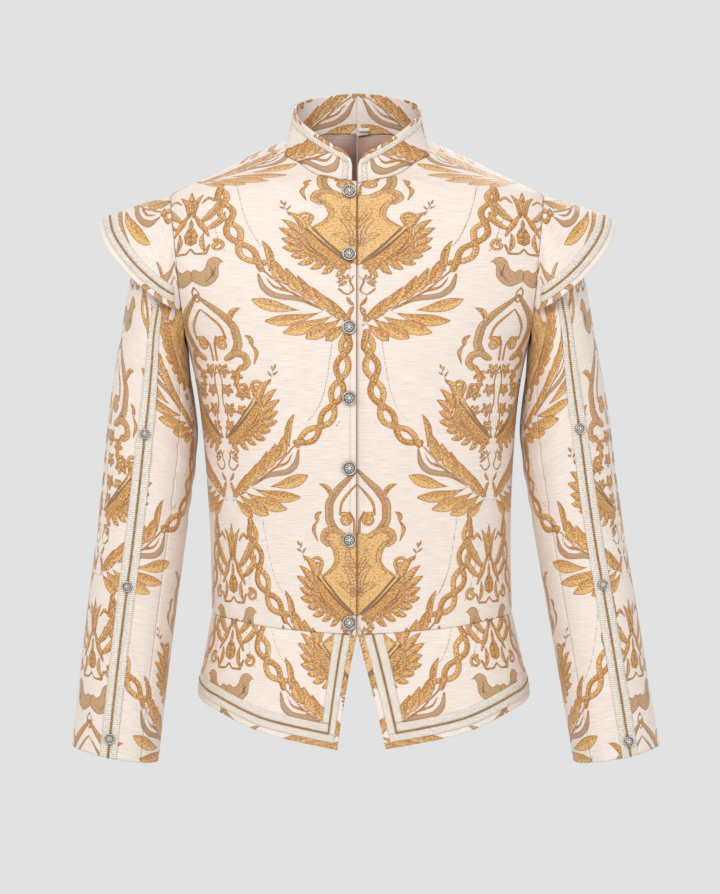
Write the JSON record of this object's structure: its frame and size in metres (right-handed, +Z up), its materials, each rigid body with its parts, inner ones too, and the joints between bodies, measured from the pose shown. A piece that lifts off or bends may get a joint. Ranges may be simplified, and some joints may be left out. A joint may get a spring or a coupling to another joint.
{
  "type": "brocade jacket",
  "caption": "Fitted brocade jacket as worn: standing collar, flared shoulder wings, long two-piece sleeves and a short flared skirt, trimmed with braid and cord, buttoned in front.",
  "frame": {"origin": "on the centre line inside the neck, level with the sides of the neck seam", "axes": "+Z up, the front faces -Y, +X is the wearer's left"},
  "size_m": [0.668, 0.2527, 0.7702],
  "materials": {
    "brocade": "woven ivory ground with gold figures",
    "white_braid": "pebbled woven braid",
    "gold_cord": "twisted chain cord",
    "mauve_lining": "smooth satin lining",
    "silver_buttons": "antique silver, domed"
  },
  "bodies": {
    "root": {"front_left": "brocade", "back_left": "brocade", "back_lining_left": "mauve_lining", "collar_left": "brocade", "collar_braid_left": "white_braid", "peplum_front_left": "brocade", "peplum_front_left_braid_outer": "white_braid", "peplum_front_left_cord": "gold_cord", "peplum_front_left_braid_inner": "white_braid", "peplum_back_left": "brocade", "peplum_back_left_braid_outer": "white_braid", "peplum_back_left_cord": "gold_cord", "peplum_back_left_braid_inner": "white_braid", "sleeve_upper_left": "brocade", "sleeve_under_left": "brocade", "wing_left": "brocade", "sleeve_braid_outer_left": "white_braid", "sleeve_cord_left": "gold_cord", "sleeve_braid_inner_left": "white_braid", "wing_braid_outer_left": "white_braid", "wing_cord_left": "gold_cord", "wing_braid_inner_left": "white_braid", "sleeve_button_left_1": "silver_buttons", "sleeve_button_left_2": "silver_buttons", "sleeve_button_left_3": "silver_buttons", "front_right": "brocade", "back_right": "brocade", "back_lining_right": "mauve_lining", "collar_right": "brocade", "collar_braid_right": "white_braid", "peplum_front_right": "brocade", "peplum_front_right_braid_outer": "white_braid", "peplum_front_right_cord": "gold_cord", "peplum_front_right_braid_inner": "white_braid", "peplum_back_right": "brocade", "peplum_back_right_braid_outer": "white_braid", "peplum_back_right_cord": "gold_cord", "peplum_back_right_braid_inner": "white_braid", "sleeve_upper_right": "brocade", "sleeve_under_right": "brocade", "wing_right": "brocade", "sleeve_braid_outer_right": "white_braid", "sleeve_cord_right": "gold_cord", "sleeve_braid_inner_right": "white_braid", "wing_braid_outer_right": "white_braid", "wing_cord_right": "gold_cord", "wing_braid_inner_right": "white_braid", "sleeve_button_right_1": "silver_buttons", "sleeve_button_right_2": "silver_buttons", "sleeve_button_right_3": "silver_buttons", "front_button_1": "silver_buttons", "front_button_2": "silver_buttons", "front_button_3": "silver_buttons", "front_button_4": "silver_buttons", "front_button_5": "silver_buttons", "front_button_6": "silver_buttons", "front_button_7": "silver_buttons", "neck_loop": "white_braid"}
  },
  "joints": []
}
